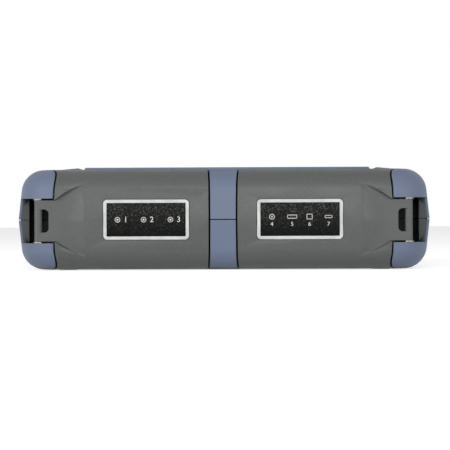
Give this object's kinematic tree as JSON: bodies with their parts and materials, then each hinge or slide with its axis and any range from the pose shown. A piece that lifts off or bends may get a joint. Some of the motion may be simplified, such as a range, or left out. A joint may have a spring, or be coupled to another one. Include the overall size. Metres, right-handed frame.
{
  "type": "optical time domain reflectometer",
  "caption": "Handheld fibre tester with a display, keys, a folding stand and hinged doors over its sockets; it lies on its back.",
  "frame": {"origin": "middle of the surface that the feet stand on, with the instrument lying on its back", "axes": "+Z out of the display, +X along the width, the end with the sockets faces -Y"},
  "size_m": [0.253, 0.168, 0.0633],
  "materials": {
    "blue_skin": "fine moulded texture, grey-blue",
    "grey_core": "fine moulded texture, dark grey",
    "grey_door": "fine moulded texture, grey",
    "bright_frame": "satin silver",
    "black_label": null,
    "steel": "bright",
    "socket_metal": "nickel plated",
    "socket_plastic": "black",
    "panel_black": "matt black",
    "glass": "tinted cover glass",
    "display": "dark, switched off",
    "key_grey": "soft touch grey",
    "key_accent": "soft touch red-orange",
    "seal": "black rubber",
    "board": "green circuit board",
    "module_metal": "plain",
    "battery": "shrink sleeve",
    "light": "clear light pipe"
  },
  "bodies": {
    "case": {"front_bumper": "blue_skin", "rear_bumper": "blue_skin", "front_shell": "grey_core", "rear_shell": "grey_core", "battery_cover": "grey_core", "door_hinge_pins": "steel", "door_hinge_washers": "steel", "stand_pin": "steel", "case_screws": "steel", "battery_cover_screws": "steel", "panel_screws": "steel", "adapter_screws": "steel", "vfl_adapter": "socket_metal", "otdr_adapter": "socket_metal", "opm_adapter": "socket_metal", "usb_socket": "socket_metal", "lan_jack": "socket_metal", "micro_socket": "socket_metal", "dc_jack": "socket_plastic", "optical_panel": "panel_black", "io_panel": "panel_black", "display_window": "glass", "lcd_module": "display", "seam_gasket": "seal", "display_gasket": "seal", "key_mat": "seal", "rubber_feet": "seal", "main_board": "board", "io_board": "board", "key_board": "board", "chassis": "module_metal", "board_standoffs": "module_metal", "otdr_engine": "module_metal", "vfl_laser": "module_metal", "opm_detector": "module_metal", "speaker": "module_metal", "battery_pack": "battery", "status_lights": "light"},
    "optical_door": {"optical_door": "grey_door", "optical_label_frame": "bright_frame", "optical_label_plate": "black_label"},
    "electrical_door": {"electrical_door": "grey_door", "electrical_label_frame": "bright_frame", "electrical_label_plate": "black_label"},
    "stand": {"stand": "grey_core", "stand_pad": "seal"},
    "soft_key_1": {"soft_key_1": "key_grey"},
    "soft_key_2": {"soft_key_2": "key_grey"},
    "soft_key_3": {"soft_key_3": "key_grey"},
    "soft_key_4": {"soft_key_4": "key_grey"},
    "arrow_key_up": {"arrow_key_up": "key_grey"},
    "arrow_key_down": {"arrow_key_down": "key_grey"},
    "arrow_key_left": {"arrow_key_left": "key_grey"},
    "arrow_key_right": {"arrow_key_right": "key_grey"},
    "enter_key": {"enter_key": "key_grey"},
    "menu_key": {"menu_key": "key_grey"},
    "start_key": {"start_key": "key_grey"},
    "file_key": {"file_key": "key_grey"},
    "back_key": {"back_key": "key_grey"},
    "power_key": {"power_key": "key_accent"}
  },
  "joints": [
    {"name": "optical_door_hinge", "type": "hinge", "parent": "case", "child": "optical_door", "pos_m": [-0.1126, -0.0775, 0.0304], "axis": [0, 0, -1], "range_deg": [0, 110]},
    {"name": "electrical_door_hinge", "type": "hinge", "parent": "case", "child": "electrical_door", "pos_m": [0.1126, -0.0775, 0.0304], "axis": [0, 0, 1], "range_deg": [0, 110]},
    {"name": "stand_hinge", "type": "hinge", "parent": "case", "child": "stand", "pos_m": [0, -0.045, 0.0035], "axis": [-1, 0, 0], "range_deg": [0, 55]},
    {"name": "soft_key_1_press", "type": "slide", "parent": "case", "child": "soft_key_1", "axis": [0, 0, -1], "range_m": [0, 0.0008], "stiffness_N_per_m": 500},
    {"name": "soft_key_2_press", "type": "slide", "parent": "case", "child": "soft_key_2", "axis": [0, 0, -1], "range_m": [0, 0.0008], "stiffness_N_per_m": 500},
    {"name": "soft_key_3_press", "type": "slide", "parent": "case", "child": "soft_key_3", "axis": [0, 0, -1], "range_m": [0, 0.0008], "stiffness_N_per_m": 500},
    {"name": "soft_key_4_press", "type": "slide", "parent": "case", "child": "soft_key_4", "axis": [0, 0, -1], "range_m": [0, 0.0008], "stiffness_N_per_m": 500},
    {"name": "arrow_key_up_press", "type": "slide", "parent": "case", "child": "arrow_key_up", "axis": [0, 0, -1], "range_m": [0, 0.0008], "stiffness_N_per_m": 500},
    {"name": "arrow_key_down_press", "type": "slide", "parent": "case", "child": "arrow_key_down", "axis": [0, 0, -1], "range_m": [0, 0.0008], "stiffness_N_per_m": 500},
    {"name": "arrow_key_left_press", "type": "slide", "parent": "case", "child": "arrow_key_left", "axis": [0, 0, -1], "range_m": [0, 0.0008], "stiffness_N_per_m": 500},
    {"name": "arrow_key_right_press", "type": "slide", "parent": "case", "child": "arrow_key_right", "axis": [0, 0, -1], "range_m": [0, 0.0008], "stiffness_N_per_m": 500},
    {"name": "enter_key_press", "type": "slide", "parent": "case", "child": "enter_key", "axis": [0, 0, -1], "range_m": [0, 0.0008], "stiffness_N_per_m": 500},
    {"name": "menu_key_press", "type": "slide", "parent": "case", "child": "menu_key", "axis": [0, 0, -1], "range_m": [0, 0.0008], "stiffness_N_per_m": 500},
    {"name": "start_key_press", "type": "slide", "parent": "case", "child": "start_key", "axis": [0, 0, -1], "range_m": [0, 0.0008], "stiffness_N_per_m": 500},
    {"name": "file_key_press", "type": "slide", "parent": "case", "child": "file_key", "axis": [0, 0, -1], "range_m": [0, 0.0008], "stiffness_N_per_m": 500},
    {"name": "back_key_press", "type": "slide", "parent": "case", "child": "back_key", "axis": [0, 0, -1], "range_m": [0, 0.0008], "stiffness_N_per_m": 500},
    {"name": "power_key_press", "type": "slide", "parent": "case", "child": "power_key", "axis": [0, 0, -1], "range_m": [0, 0.0008], "stiffness_N_per_m": 500}
  ]
}
